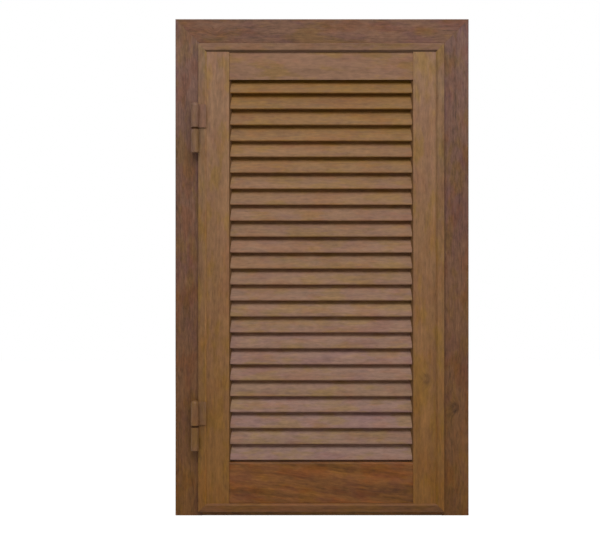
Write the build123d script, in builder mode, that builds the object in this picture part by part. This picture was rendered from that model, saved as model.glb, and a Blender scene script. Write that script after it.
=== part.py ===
from build123d import *

import os
from math import cos, radians, sin

# Louvred shutter door in wood-effect aluminium: one outward-opening leaf with fixed slats,
# hung on two lift-off hinges in its own frame.
# Millimetres. The origin is the middle of the sill's underside, halfway through the frame's depth.
# +X runs from the hinges to the bolts, +Y from the front to the back, +Z up.

# Frame
frame_width = 650.0
frame_height = 1100.0
frame_depth = 45.0
jamb_face = 60.0
frame_wall = 2.0
inner_chamber = 22.0
stop_reach = 18.0
stop_wall = 2.5
sill_height = 18.0
sill_setback = 2.0
frame_round = 1.0
fixing_radius = 4.0
fixing_low_z = 110.0
fixing_top_inset = 130.0
fixing_count = 3
fixing_y = 5.0

# Seal on the frame's stop
seal_width = 8.0
seal_height = 6.2
seal_inset = 8.0
seal_skin = 1.2
seal_gap = 0.3

# Leaf: a raised mitred rim round stiles, rails and slats
leaf_overlap = 7.0
leaf_set_left = 2.0
leaf_set_down = 2.0
running_gap = 7.0
rim_proud = 10.0
rim_width = 18.5
rim_wall = 2.0
rim_lip = 1.8
flange_clear = 4.0
rim_round = 1.2
rim_slope = 4.0
edge_tube = 18.0
leaf_wall = 2.0
stile_face = 50.0
stile_step = 4.0
rail_step = 7.0
top_rail_face = 61.5
top_rail_lip = 18.0
bottom_rail_face = 91.0
bottom_rail_upstand = 25.0
rail_chamber = 24.0
face_round = 0.6
bottom_rail_round = 4.5

# Slats and the combs that hold their ends
slat_pitch_aim = 35.35
slat_top_lap = 2.0
slat_thickness = 8.0
slat_chord = 50.0
slat_nose = 2.2
slat_tilt = 25.0
slat_wall = 1.3
slat_setback = 5.0
slat_first_gap = 3.8
slat_end_gap = 2.0
comb_thickness = 6.0
comb_setback = 1.5
comb_taper = 11.5
comb_spine = 8.0
comb_clear = 0.15
comb_end_clear = 0.2

# Corner cleats, sill brackets and rail spigots
cleat_clear = 0.2
frame_cleat_reach = 95.0
frame_cleat_wall = 4.0
leaf_cleat_reach = 60.0
leaf_cleat_wall = 3.0
bracket_length = 35.0
spigot_length = 25.0
spigot_wall = 3.5
spigot_screw_edge = 2.3
spigot_screw_length = 14.0

# Hinges
barrel_radius = 9.0
pintle_height = 51.0
washer_height = 5.0
washer_radius = 6.5
knuckle_height = 55.0
knuckle_dome = 8.0
pintle_round = 2.0
hinge_setoff = 6.2
upper_hinge_drop = 297.5
lower_hinge_z = 146.0
pin_radius = 4.0
pin_fit = 0.05
pin_start = 8.0
pin_socket = 44.0
pin_reach = 42.0
bearing_gap = 0.1
strap_thickness = 3.5
strap_edge_gap = 0.5
strap_top_step = 4.0
pintle_plate = 3.0
pintle_plate_edge = 1.0
pintle_neck_gap = 2.5
pintle_neck_left = 8.0
strap_round = 1.5

# Screws
screw_radius = 2.5
screw_clear = 0.05
screw_head_radius = 4.5
screw_head_height = 2.0
pintle_screw_length = 12.0
pintle_screw_inset = 12.0
pintle_screw_setback = 6.5
strap_screw_thread = 2.7
strap_screw_inset = 12.0
plate_screw_radius = 2.0
plate_screw_head_radius = 3.6
plate_screw_head_height = 1.4
plate_screw_tip_gap = 0.3
plate_screw_inset = 8.0

# Sliding bolts on the back of the right stile
bolt_radius = 4.0
bolt_travel = 18.0
bolt_tip_inset = 0.5
bolt_tip_round = 1.5
bolt_wall_gap = 1.0
bolt_clear = 0.3
bolt_tail = 20.0
upper_knob_drop = 250.0
lower_knob_z = 215.0
knob_stem_radius = 2.5
knob_radius = 7.0
knob_length = 12.0
knob_round = 2.0
knob_gap = 0.4
slot_clear = 0.4
plate_width = 22.0
plate_height = 74.0
plate_thickness = 2.0
plate_round = 4.0
keeper_bore_clear = 0.7
keeper_wall = 1.3
keeper_flange = 2.0
keeper_flange_height = 1.5
keeper_length = 5.0
keeper_fit = 0.05

# Depths: y of each main face
face_y = -frame_depth / 2
back_y = frame_depth / 2
stop_front_y = back_y - stop_wall
sill_front_y = face_y + sill_setback
rim_front_y = face_y - rim_proud
flange_back_y = face_y - flange_clear
stile_front_y = rim_front_y + stile_step
rail_front_y = rim_front_y + rail_step
tube_front_y = rail_front_y + leaf_wall
leaf_back_y = stop_front_y - seal_height - seal_gap
slat_front_y = stile_front_y + slat_setback

# Frame opening and the leaf that laps it
opening_left = jamb_face - frame_width / 2
opening_right = frame_width / 2 - jamb_face
opening_top = frame_height - jamb_face
leaf_left = opening_left - leaf_overlap - leaf_set_left
leaf_right = opening_right + leaf_overlap - leaf_set_left
leaf_bottom = sill_height - leaf_overlap - leaf_set_down
leaf_top = opening_top + leaf_overlap - leaf_set_down
tube_start = leaf_overlap + running_gap
tube_end = tube_start + edge_tube
stile_end = rim_width + stile_face

# Louvre field between the stiles and the rails
field_left = leaf_left + stile_end
field_right = leaf_right - stile_end
field_bottom = leaf_bottom + rim_width + bottom_rail_face
field_top = leaf_top - rim_width - top_rail_face
slat_field = field_top + slat_top_lap - field_bottom
slat_count = round(slat_field / slat_pitch_aim)
slat_pitch = slat_field / slat_count
slat_reach = slat_chord / 2 - slat_nose
slat_lean = radians(slat_tilt)
slat_centre_y = slat_front_y + slat_nose + slat_reach * sin(slat_lean)
slat_centre_z = field_bottom + slat_first_gap + slat_nose + slat_reach * cos(slat_lean)
slat_back_y = slat_centre_y + slat_reach * sin(slat_lean) + slat_nose
slat_angle = 90 - slat_tilt

# Hinge axis and the line of the sliding bolts
axis_x = leaf_left - hinge_setoff
axis_y = rim_front_y - barrel_radius
knuckle_z = pintle_height + washer_height + bearing_gap
bolt_x = leaf_right - (tube_end + stile_end) / 2
bolt_y = leaf_back_y - leaf_wall - bolt_wall_gap - bolt_radius
upper_hinge_z = frame_height - upper_hinge_drop
hinge_bases = (upper_hinge_z, lower_hinge_z)

# Keepers line the holes that the bolts enter
keeper_bore = bolt_radius + keeper_bore_clear
keeper_radius = keeper_bore + keeper_wall

# Fixing and screw places shared by the pieces they join
fixing_spacing = (frame_height - fixing_top_inset - fixing_low_z) / (fixing_count - 1)
fixing_heights = [fixing_low_z + step * fixing_spacing for step in range(fixing_count)]
pintle_screw_x = opening_left - pintle_screw_setback
pintle_screws_at = [
    (pintle_screw_x, base + inset)
    for base in hinge_bases
    for inset in (pintle_screw_inset, pintle_height - pintle_screw_inset)
]
strap_screw_x = leaf_left + (rim_lip + tube_start) / 2
strap_height = knuckle_height - strap_top_step
strap_screws_at = [
    (strap_screw_x, base + knuckle_z + inset)
    for base in hinge_bases
    for inset in (strap_screw_inset, strap_height - strap_screw_inset)
]
top_spigot_z = field_top + top_rail_lip + leaf_wall + rail_chamber / 2
bottom_spigot_z = field_bottom - leaf_wall - rail_chamber / 2
spigot_y = (tube_front_y + leaf_back_y - leaf_wall) / 2
spigot_depth = leaf_back_y - leaf_wall - tube_front_y - 2 * cleat_clear
spigot_screw_reach = spigot_depth / 2 - spigot_wall - spigot_screw_edge - screw_radius
spigot_screw_ys = (spigot_y - spigot_screw_reach, spigot_y + spigot_screw_reach)

# Each knob's slot lies along the bolt's travel: up for the upper bolt, down for the lower one
upper_knob_z = frame_height - upper_knob_drop
upper_slot_z = upper_knob_z + bolt_travel / 2
lower_slot_z = lower_knob_z - bolt_travel / 2
slot_width = 2 * (knob_stem_radius + slot_clear)
plate_screw_length = plate_thickness + leaf_wall + bolt_wall_gap - plate_screw_tip_gap
plate_screw_heights = [
    middle + side * (plate_height / 2 - plate_screw_inset)
    for middle in (upper_slot_z, lower_slot_z)
    for side in (-1, 1)
]

on_base = (Align.CENTER, Align.CENTER, Align.MIN)


def save(piece, name):
    """Label one finished piece and write it to its own STEP file."""
    piece.part.label = name
    export_step(piece.part, f"parts/{name}.step")


def rectangle(left, front, right, back):
    """Corners of a rectangle, for a chamber or a plain section."""
    return [(left, front), (right, front), (right, back), (left, back)]


def side_planes(left, bottom, right, top):
    """Planes that run round a rectangle: X points into it, Y to the back, Z along the side."""
    return {
        "left": Plane(origin=(left, 0, bottom), x_dir=(1, 0, 0), z_dir=(0, 0, 1)),
        "top": Plane(origin=(left, 0, top), x_dir=(0, 0, -1), z_dir=(1, 0, 0)),
        "right": Plane(origin=(right, 0, top), x_dir=(-1, 0, 0), z_dir=(0, 0, -1)),
        "bottom": Plane(origin=(right, 0, bottom), x_dir=(0, 0, 1), z_dir=(-1, 0, 0)),
    }


def profile(plane, length, outline, chambers, corner_round, mitre_start=False, mitre_end=False):
    """One hollow bar along the plane's Z; a mitred end is longest along the bar's outer edge."""
    with BuildPart() as bar:
        with BuildSketch(plane) as section:
            with BuildLine():
                Polyline(*outline, close=True)
            make_face()
            fillet(section.vertices().group_by(Axis.Y)[0], radius=corner_round)
            for chamber in chambers:
                with BuildLine():
                    Polyline(*chamber, close=True)
                make_face(mode=Mode.SUBTRACT)
        extrude(amount=length)
        if mitre_start:
            split(bisect_by=Plane(plane.origin, z_dir=plane.z_dir - plane.x_dir))
        if mitre_end:
            far_end = plane.origin + plane.z_dir * length
            split(bisect_by=Plane(far_end, z_dir=-plane.z_dir - plane.x_dir))
    return bar


def drill(point, direction, radius, depth):
    """One round hole into the open part, from the point along the direction."""
    with Locations(Plane(origin=point, z_dir=direction)):
        Cylinder(radius, depth, align=on_base, mode=Mode.SUBTRACT)


def countersink(point, direction, radius, head_radius, head_height, depth):
    """One countersunk hole into the open part."""
    drill(point, direction, radius, depth)
    with Locations(Plane(origin=point, z_dir=direction)):
        Cone(head_radius, radius, head_height, align=on_base, mode=Mode.SUBTRACT)


def flat_screw(point, direction, radius, head_radius, head_height, length):
    """One countersunk screw in the open part, its head flush at the point."""
    with Locations(Plane(origin=point, z_dir=direction)):
        Cylinder(radius, length, align=on_base)
        Cone(head_radius, radius, head_height, align=on_base)


def pan_screw(point, direction, length):
    """One pan-head screw in the open part, its head's underside at the point."""
    with Locations(Plane(origin=point, z_dir=direction)):
        Cylinder(screw_radius, length, align=on_base)
        Cylinder(screw_head_radius, screw_head_height, align=(Align.CENTER, Align.CENTER, Align.MAX))


def frame_outline():
    """Section of the jambs and the head: a tube with a stop lip at its back."""
    lip_end = jamb_face + stop_reach
    return [(0, face_y), (jamb_face, face_y), (jamb_face, stop_front_y), (lip_end, stop_front_y),
            (lip_end, back_y), (0, back_y)]


def frame_chambers():
    """Outer chamber for the corner cleat and inner chamber beside the leaf."""
    inner_start = jamb_face - frame_wall - inner_chamber
    front = face_y + frame_wall
    back = back_y - frame_wall
    return [rectangle(frame_wall, front, inner_start - frame_wall, back),
            rectangle(inner_start, front, jamb_face - frame_wall, back)]


def make_jambs():
    """Two uprights, mitred to the head and cut square at the floor."""
    sides = side_planes(-frame_width / 2, 0, frame_width / 2, frame_height)
    for name, side in (("jamb_hinge_side", "left"), ("jamb_bolt_side", "right")):
        plane = sides[side]
        jamb = profile(plane, frame_height, frame_outline(), frame_chambers(), frame_round,
                       mitre_start=side == "right", mitre_end=side == "left")
        outer_x = plane.origin.X
        inward = (plane.x_dir.X, 0, 0)
        with jamb:
            for height in fixing_heights:
                drill((outer_x, fixing_y, height), inward, fixing_radius, jamb_face)
            if side == "left":
                for x, z in pintle_screws_at:
                    drill((x, face_y, z), (0, 1, 0), screw_radius + screw_clear, frame_wall)
        save(jamb, name)


def make_head():
    """Top of the frame, drilled for the upper bolt's keeper."""
    plane = side_planes(-frame_width / 2, 0, frame_width / 2, frame_height)["top"]
    head = profile(plane, frame_width, frame_outline(), frame_chambers(), frame_round,
                   mitre_start=True, mitre_end=True)
    with head:
        drill((bolt_x, bolt_y, opening_top), (0, 0, 1), keeper_radius + keeper_fit, frame_wall)
    save(head, "head")


def make_sill():
    """Low threshold between the jambs, set back under the leaf's rim."""
    lip_top = sill_height + stop_reach
    with BuildPart() as sill:
        with BuildSketch(Plane.YZ.offset(opening_left)):
            with BuildLine():
                Polyline((sill_front_y, 0), (back_y, 0), (back_y, lip_top), (stop_front_y, lip_top),
                         (stop_front_y, sill_height), (sill_front_y, sill_height), close=True)
            make_face()
            with BuildLine():
                Polyline(*rectangle(sill_front_y + frame_wall, frame_wall, stop_front_y,
                                    sill_height - frame_wall), close=True)
            make_face(mode=Mode.SUBTRACT)
        extrude(amount=opening_right - opening_left)
        for x in (opening_left + stop_reach / 2, opening_right - stop_reach / 2):
            with Locations((x, back_y - stop_wall / 2, lip_top / 2)):
                Box(stop_reach, stop_wall, lip_top, mode=Mode.SUBTRACT)
        drill((bolt_x, bolt_y, sill_height), (0, 0, -1), keeper_radius + keeper_fit, frame_wall)
    save(sill, "sill")


def angle_cleat(corner, y_front, y_back, width, reach, wall):
    """One hollow L-shaped cleat in a corner of two mitred tubes, added to the open part."""
    with BuildSketch(corner.offset(y_front)) as angle:
        with BuildLine():
            Polyline((0, 0), (reach, 0), (reach, width), (width, width), (width, reach), (0, reach),
                     close=True)
        make_face()
        offset(amount=-wall, kind=Kind.INTERSECTION, mode=Mode.SUBTRACT)
    extrude(angle.sketch, amount=y_back - y_front)


def corner_planes(left, bottom, right, top):
    """Planes at the corners of a rectangle: X and Y run along its sides, Z to the back."""
    return {
        "top_left": Plane(origin=(left, 0, top), x_dir=(1, 0, 0), z_dir=(0, 1, 0)),
        "top_right": Plane(origin=(right, 0, top), x_dir=(0, 0, -1), z_dir=(0, 1, 0)),
        "bottom_right": Plane(origin=(right, 0, bottom), x_dir=(-1, 0, 0), z_dir=(0, 1, 0)),
        "bottom_left": Plane(origin=(left, 0, bottom), x_dir=(0, 0, 1), z_dir=(0, 1, 0)),
    }


def make_head_corner_cleats():
    """Two cast angles in the outer chambers, where the head meets the jambs."""
    inset = frame_wall + cleat_clear
    corners = corner_planes(inset - frame_width / 2, 0, frame_width / 2 - inset, frame_height - inset)
    width = jamb_face - 3 * frame_wall - inner_chamber - 2 * cleat_clear
    with BuildPart() as cleats:
        for name in ("top_left", "top_right"):
            angle_cleat(corners[name], face_y + inset, back_y - inset, width,
                        frame_cleat_reach, frame_cleat_wall)
    save(cleats, "head_corner_cleats")


def make_sill_brackets():
    """Two blocks that join the sill's ends to the jambs, inside its chamber."""
    front = sill_front_y + frame_wall + cleat_clear
    back = stop_front_y - cleat_clear
    height = sill_height - 2 * frame_wall - 2 * cleat_clear
    reach = bracket_length / 2
    with BuildPart() as brackets:
        with Locations((opening_left + reach, (front + back) / 2, sill_height / 2),
                       (opening_right - reach, (front + back) / 2, sill_height / 2)):
            Box(bracket_length, back - front, height)
    save(brackets, "sill_brackets")


def make_frame_seal():
    """One hollow rubber seal round the frame's stop, open towards the lip."""
    crown_y = stop_front_y - seal_height
    middle = ((opening_left + opening_right) / 2, crown_y, (sill_height + opening_top) / 2)
    crown = Plane(origin=middle, x_dir=(1, 0, 0), z_dir=(0, 1, 0))
    width = opening_right - opening_left - 2 * seal_inset
    height = opening_top - sill_height - 2 * seal_inset
    hollow = seal_width - seal_skin
    with BuildPart() as seal:
        with BuildSketch(crown):
            Rectangle(width, height)
            Rectangle(width - 2 * seal_width, height - 2 * seal_width, mode=Mode.SUBTRACT)
        extrude(amount=seal_height)
        with BuildSketch(crown.offset(seal_skin)):
            Rectangle(width - 2 * seal_skin, height - 2 * seal_skin)
            Rectangle(width - 2 * hollow, height - 2 * hollow, mode=Mode.SUBTRACT)
        extrude(amount=seal_height - seal_skin, mode=Mode.SUBTRACT)
    save(seal, "frame_seal")


def make_bolt_keepers():
    """Two flanged plastic bushes, one in the head and one in the sill."""
    with BuildPart() as keepers:
        for seat_z, inward in ((opening_top, (0, 0, 1)), (sill_height, (0, 0, -1))):
            seat = Plane(origin=(bolt_x, bolt_y, seat_z), z_dir=inward)
            with BuildSketch(seat):
                Circle(keeper_radius)
                Circle(keeper_bore, mode=Mode.SUBTRACT)
            extrude(amount=keeper_length)
            with BuildSketch(seat):
                Circle(keeper_radius + keeper_flange)
                Circle(keeper_bore, mode=Mode.SUBTRACT)
            extrude(amount=-keeper_flange_height)
    save(keepers, "bolt_keepers")


def edge_outline():
    """Section of the leaf's edge: a raised rim that laps the frame, and the tube behind it."""
    return [(0, rim_front_y), (rim_width - rim_slope, rim_front_y),
            (rim_width, rim_front_y + rim_slope), (rim_width, tube_front_y),
            (tube_end, tube_front_y), (tube_end, leaf_back_y), (tube_start, leaf_back_y),
            (tube_start, rim_front_y + rim_wall), (rim_lip, rim_front_y + rim_wall),
            (rim_lip, flange_back_y), (0, flange_back_y)]


def make_leaf_edges():
    """Four mitred edge bars; the top and bottom ones are drilled for the bolts."""
    width = leaf_right - leaf_left
    height = leaf_top - leaf_bottom
    chamber = rectangle(tube_start + leaf_wall, tube_front_y + leaf_wall,
                        tube_end - leaf_wall, leaf_back_y - leaf_wall)
    planes = side_planes(leaf_left, leaf_bottom, leaf_right, leaf_top)
    for side, plane in planes.items():
        length = height if side in ("left", "right") else width
        bar = profile(plane, length, edge_outline(), [chamber], rim_round,
                      mitre_start=True, mitre_end=True)
        with bar:
            if side == "left":
                for x, z in strap_screws_at:
                    drill((x, rim_front_y, z), (0, 1, 0), screw_radius + screw_clear, rim_wall)
            if side in ("top", "bottom"):
                inward = plane.x_dir
                start = Vector(bolt_x, bolt_y, plane.origin.Z)
                drill(start, inward, bolt_radius + bolt_clear, tube_end)
        save(bar, f"leaf_edge_{side}")


def make_stiles():
    """Two stiles: a box beside the louvres and a lip that laps the leaf's edge tube."""
    length = leaf_top - leaf_bottom - 2 * rim_width
    outline = [(rim_width, stile_front_y), (stile_end, stile_front_y), (stile_end, leaf_back_y),
               (tube_end, leaf_back_y), (tube_end, stile_front_y + leaf_wall),
               (rim_width + leaf_wall, stile_front_y + leaf_wall),
               (rim_width + leaf_wall, tube_front_y), (rim_width, tube_front_y)]
    chamber = rectangle(tube_end + leaf_wall, stile_front_y + leaf_wall,
                        stile_end - leaf_wall, leaf_back_y - leaf_wall)
    planes = side_planes(leaf_left, leaf_bottom + rim_width, leaf_right, leaf_top - rim_width)
    notch_height = tube_end - rim_width
    notch_depth = leaf_back_y - tube_front_y
    for side in ("left", "right"):
        plane = planes[side]
        stile = profile(plane, length, outline, [chamber], face_round)
        middle_x = plane.origin.X + plane.x_dir.X * (tube_end + stile_end) / 2
        wall_x = plane.origin.X + plane.x_dir.X * (stile_end - leaf_wall)
        with stile:
            for z in (leaf_bottom + rim_width + notch_height / 2, leaf_top - rim_width - notch_height / 2):
                with Locations((middle_x, tube_front_y + notch_depth / 2, z)):
                    Box(stile_end - tube_end, notch_depth, notch_height, mode=Mode.SUBTRACT)
            for z in (top_spigot_z, bottom_spigot_z):
                for y in spigot_screw_ys:
                    drill((wall_x, y, z), plane.x_dir, screw_radius + screw_clear, leaf_wall)
            if side == "right":
                cut_bolt_slot(upper_slot_z, leaf_back_y - leaf_wall, leaf_wall)
                cut_bolt_slot(lower_slot_z, leaf_back_y - leaf_wall, leaf_wall)
                for z in plate_screw_heights:
                    drill((bolt_x, leaf_back_y, z), (0, -1, 0), plate_screw_radius + screw_clear, leaf_wall)
        save(stile, f"stile_{side}")


def cut_bolt_slot(middle, front_y, depth):
    """One slot for a knob's stem, cut from the open part."""
    with BuildSketch(Plane.XZ.offset(-front_y)) as slot:
        with Locations((bolt_x, middle)):
            SlotOverall(bolt_travel + slot_width, slot_width, rotation=90)
    extrude(slot.sketch, amount=-depth, mode=Mode.SUBTRACT)


def make_rails():
    """Top and bottom rails between the stiles."""
    length = field_right - field_left
    planes = side_planes(field_left, leaf_bottom, field_right, leaf_top)
    back_chamber_y = leaf_back_y - leaf_wall

    top_end = rim_width + top_rail_face
    top_box = top_end - top_rail_lip
    top_outline = [(rim_width, rail_front_y), (top_end, rail_front_y), (top_end, tube_front_y),
                   (top_box, tube_front_y), (top_box, leaf_back_y), (tube_end, leaf_back_y),
                   (tube_end, tube_front_y), (rim_width, tube_front_y)]
    top_chamber = rectangle(tube_end + leaf_wall, tube_front_y, top_box - leaf_wall, back_chamber_y)
    top_rail = profile(planes["top"], length, top_outline, [top_chamber], face_round)
    save(top_rail, "rail_top")

    low_end = rim_width + bottom_rail_face
    web_end = low_end - leaf_wall - rail_chamber
    upstand_end = low_end + bottom_rail_upstand
    low_outline = [(rim_width, rail_front_y), (low_end, rail_front_y), (low_end, back_chamber_y),
                   (upstand_end, back_chamber_y), (upstand_end, leaf_back_y), (tube_end, leaf_back_y),
                   (tube_end, tube_front_y), (rim_width, tube_front_y)]
    low_chambers = [rectangle(tube_end + leaf_wall, tube_front_y, web_end - leaf_wall, back_chamber_y),
                    rectangle(web_end, tube_front_y, low_end - leaf_wall, back_chamber_y)]
    with BuildPart() as low_rail:
        with BuildSketch(planes["bottom"]) as section:
            with BuildLine():
                Polyline(*low_outline, close=True)
            make_face()
            front_corners = section.vertices().group_by(Axis.Y)[0].sort_by(Axis.X)
            fillet(front_corners[0], radius=face_round)
            fillet(section.vertices().group_by(Axis.Y)[0].sort_by(Axis.X)[-1], radius=bottom_rail_round)
            for chamber in low_chambers:
                with BuildLine():
                    Polyline(*chamber, close=True)
                make_face(mode=Mode.SUBTRACT)
        extrude(amount=length)
    save(low_rail, "rail_bottom")


def make_leaf_corner_cleats():
    """Four cast angles in the edge tubes; the two on the bolt side let the bolts through."""
    inset = tube_start + leaf_wall + cleat_clear
    corners = corner_planes(leaf_left + inset, leaf_bottom + inset, leaf_right - inset, leaf_top - inset)
    width = edge_tube - 2 * leaf_wall - 2 * cleat_clear
    with BuildPart() as cleats:
        for corner in corners.values():
            angle_cleat(corner, tube_front_y + leaf_wall + cleat_clear,
                        leaf_back_y - leaf_wall - cleat_clear, width, leaf_cleat_reach, leaf_cleat_wall)
        drill((bolt_x, bolt_y, leaf_bottom), (0, 0, 1), bolt_radius + bolt_clear, tube_end)
        drill((bolt_x, bolt_y, leaf_top), (0, 0, -1), bolt_radius + bolt_clear, tube_end)
    save(cleats, "leaf_corner_cleats")


def make_rail_spigots():
    """Four hollow blocks inside the rails' ends, screwed to the stiles."""
    height = rail_chamber - 2 * cleat_clear
    with BuildPart() as spigots:
        for end_x, inward in ((field_left, 1), (field_right, -1)):
            for z in (top_spigot_z, bottom_spigot_z):
                with Locations((end_x + inward * spigot_length / 2, spigot_y, z)):
                    Box(spigot_length, spigot_depth, height)
                pocket = spigot_length - 2 * spigot_wall
                with Locations((end_x + inward * spigot_length / 2, spigot_y, z)):
                    Box(pocket, spigot_depth - 2 * spigot_wall, height, mode=Mode.SUBTRACT)
                for y in spigot_screw_ys:
                    drill((end_x, y, z), (inward, 0, 0), screw_radius, spigot_wall)
    save(spigots, "rail_spigots")


def make_spigot_screws():
    """Eight pan-head screws, from inside the stiles into the spigots."""
    with BuildPart() as screws:
        for end_x, inward in ((field_left, 1), (field_right, -1)):
            for z in (top_spigot_z, bottom_spigot_z):
                for y in spigot_screw_ys:
                    pan_screw((end_x - inward * leaf_wall, y, z), (inward, 0, 0), spigot_screw_length)
    save(screws, "spigot_screws")


def slat_places():
    """Centre of each slat's section, from the lowest up."""
    return [(slat_centre_y, slat_centre_z + number * slat_pitch) for number in range(slat_count)]


def slat_section(grow):
    """Pointed oval of two arcs between round noses, grown outwards by a distance."""
    half_thickness = slat_thickness / 2
    sweep = slat_reach ** 2 + half_thickness ** 2 - slat_nose ** 2
    arc_radius = sweep / (2 * (half_thickness - slat_nose))
    with BuildSketch() as section:
        with Locations((0, half_thickness - arc_radius)):
            Circle(arc_radius + grow)
        with Locations((0, arc_radius - half_thickness)):
            Circle(arc_radius + grow, mode=Mode.INTERSECT)
        fillet(section.vertices(), radius=slat_nose + grow)
    return section.sketch


def make_slats():
    """Fixed hollow slats, low at the front, that run from stile to stile."""
    outside = slat_section(0)
    hollow = slat_section(-slat_wall)
    for number, place in enumerate(slat_places(), start=1):
        with BuildPart() as slat:
            with BuildSketch(Plane.YZ.offset(field_left + slat_end_gap)):
                with Locations(place):
                    add(outside, rotation=slat_angle)
                    add(hollow, rotation=slat_angle, mode=Mode.SUBTRACT)
            extrude(amount=field_right - field_left - 2 * slat_end_gap)
        save(slat, f"slat_{number:02d}")


def make_slat_combs():
    """Two plastic combs on the stiles' sides, with blind sockets for the slats' ends."""
    comb_front = slat_front_y + comb_setback
    taper_end = comb_front + comb_taper
    comb_back = slat_back_y + comb_spine
    comb_top = field_top + top_rail_lip
    socket = slat_section(comb_clear)
    socket_floor = slat_end_gap - comb_end_clear
    for side, start, inward in (("left", field_left, 1), ("right", field_right, -1)):
        inner_x = start + inward * comb_thickness
        with BuildPart() as comb:
            with BuildSketch(Plane.XY.offset(field_bottom)):
                with BuildLine():
                    Polyline((start, comb_front), (start + inward * slat_end_gap, comb_front),
                             (inner_x, taper_end), (inner_x, comb_back), (start, comb_back), close=True)
                make_face()
            extrude(amount=comb_top - field_bottom)
            with BuildSketch(Plane.YZ.offset(start + inward * socket_floor)):
                with Locations(*slat_places()):
                    add(socket, rotation=slat_angle)
            extrude(amount=inward * (comb_thickness - socket_floor), mode=Mode.SUBTRACT)
        save(comb, f"slat_comb_{side}")


def make_pintle(name, base_z):
    """Frame half of a hinge: the lower knuckle on its neck, and a plate behind the leaf's rim."""
    neck_left = axis_x - pintle_neck_left
    neck_right = leaf_left - pintle_neck_gap
    plate_right = opening_left - pintle_plate_edge
    middle_z = base_z + pintle_height / 2
    with BuildPart() as pintle:
        with BuildSketch(Plane.XY.offset(base_z)):
            with Locations((axis_x, axis_y)):
                Circle(barrel_radius)
        extrude(amount=pintle_height)
        fillet(pintle.edges().group_by(Axis.Z)[0], radius=pintle_round)
        neck_depth = face_y - axis_y
        with Locations(((neck_left + neck_right) / 2, axis_y + neck_depth / 2, middle_z)):
            Box(neck_right - neck_left, neck_depth, pintle_height - 2 * pintle_round)
        with Locations(((neck_left + plate_right) / 2, face_y - pintle_plate / 2, middle_z)):
            Box(plate_right - neck_left, pintle_plate, pintle_height)
        drill((axis_x, axis_y, base_z + pin_start), (0, 0, 1), pin_radius, pintle_height - pin_start)
        for x, z in pintle_screws_at:
            if base_z < z < base_z + pintle_height:
                countersink((x, face_y - pintle_plate, z), (0, 1, 0), screw_radius,
                            screw_head_radius, screw_head_height, pintle_plate)
    save(pintle, name)


def make_hinge_pins():
    """Two steel pins that stand up from the pintles into the leaf's knuckles."""
    with BuildPart() as pins:
        for base in hinge_bases:
            with BuildSketch(Plane.XY.offset(base + pin_start)):
                with Locations((axis_x, axis_y)):
                    Circle(pin_radius)
            extrude(amount=knuckle_z - pin_start + pin_reach)
    save(pins, "hinge_pins")


def make_hinge_washers():
    """Two bearing washers between the knuckles, set back from the barrels."""
    with BuildPart() as washers:
        for base in hinge_bases:
            with BuildSketch(Plane.XY.offset(base + pintle_height)):
                with Locations((axis_x, axis_y)):
                    Circle(washer_radius)
                    Circle(pin_radius + pin_fit, mode=Mode.SUBTRACT)
            extrude(amount=washer_height)
    save(washers, "hinge_washers")


def make_pintle_screws():
    """Four countersunk screws that hold the pintles to the hinge-side jamb."""
    with BuildPart() as screws:
        for x, z in pintle_screws_at:
            flat_screw((x, face_y - pintle_plate, z), (0, 1, 0), screw_radius,
                       screw_head_radius, screw_head_height, pintle_screw_length)
    save(screws, "pintle_screws")


def make_strap(name, base_z):
    """Leaf half of a hinge: the upper knuckle with its domed top, and a plate on the rim."""
    low_z = base_z + knuckle_z
    plate_right = leaf_left + rim_width - strap_edge_gap
    with BuildPart() as strap:
        with BuildSketch(Plane.XY.offset(low_z)):
            with Locations((axis_x, axis_y)):
                Circle(barrel_radius)
        extrude(amount=knuckle_height)
        fillet(strap.edges().group_by(Axis.Z)[-1], radius=knuckle_dome)
        with Locations(((axis_x + plate_right) / 2, rim_front_y - strap_thickness / 2,
                        low_z + strap_height / 2)):
            Box(plate_right - axis_x, strap_thickness, strap_height)
        outer_edges = strap.edges().filter_by(Axis.Y).group_by(Axis.X)[-1]
        fillet(outer_edges, radius=strap_round)
        drill((axis_x, axis_y, low_z), (0, 0, 1), pin_radius + pin_fit, pin_socket)
        for x, z in strap_screws_at:
            if low_z < z < low_z + strap_height:
                drill((x, rim_front_y, z), (0, -1, 0), screw_radius, strap_screw_thread)
    save(strap, name)


def make_strap_screws():
    """Four pan-head screws, from behind the rim into the straps."""
    with BuildPart() as screws:
        for x, z in strap_screws_at:
            pan_screw((x, rim_front_y + rim_wall, z), (0, -1, 0), rim_wall + strap_screw_thread)
    save(screws, "strap_screws")


def make_bolt(name, knob_z, tip_z):
    """One round sliding bolt, at rest drawn back into the leaf."""
    outward = 1 if tip_z > knob_z else -1
    tail_z = knob_z - outward * bolt_tail
    with BuildPart() as bolt:
        with BuildSketch(Plane(origin=(bolt_x, bolt_y, tail_z), z_dir=(0, 0, outward))):
            Circle(bolt_radius)
        extrude(amount=abs(tip_z - tail_z))
        tip_edge = bolt.edges().filter_by(GeomType.CIRCLE).sort_by(Axis.Z)[-1 if outward > 0 else 0]
        fillet(tip_edge, radius=bolt_tip_round)
        drill((bolt_x, bolt_y, knob_z), (0, 1, 0), knob_stem_radius, bolt_radius)
    save(bolt, name)


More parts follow.
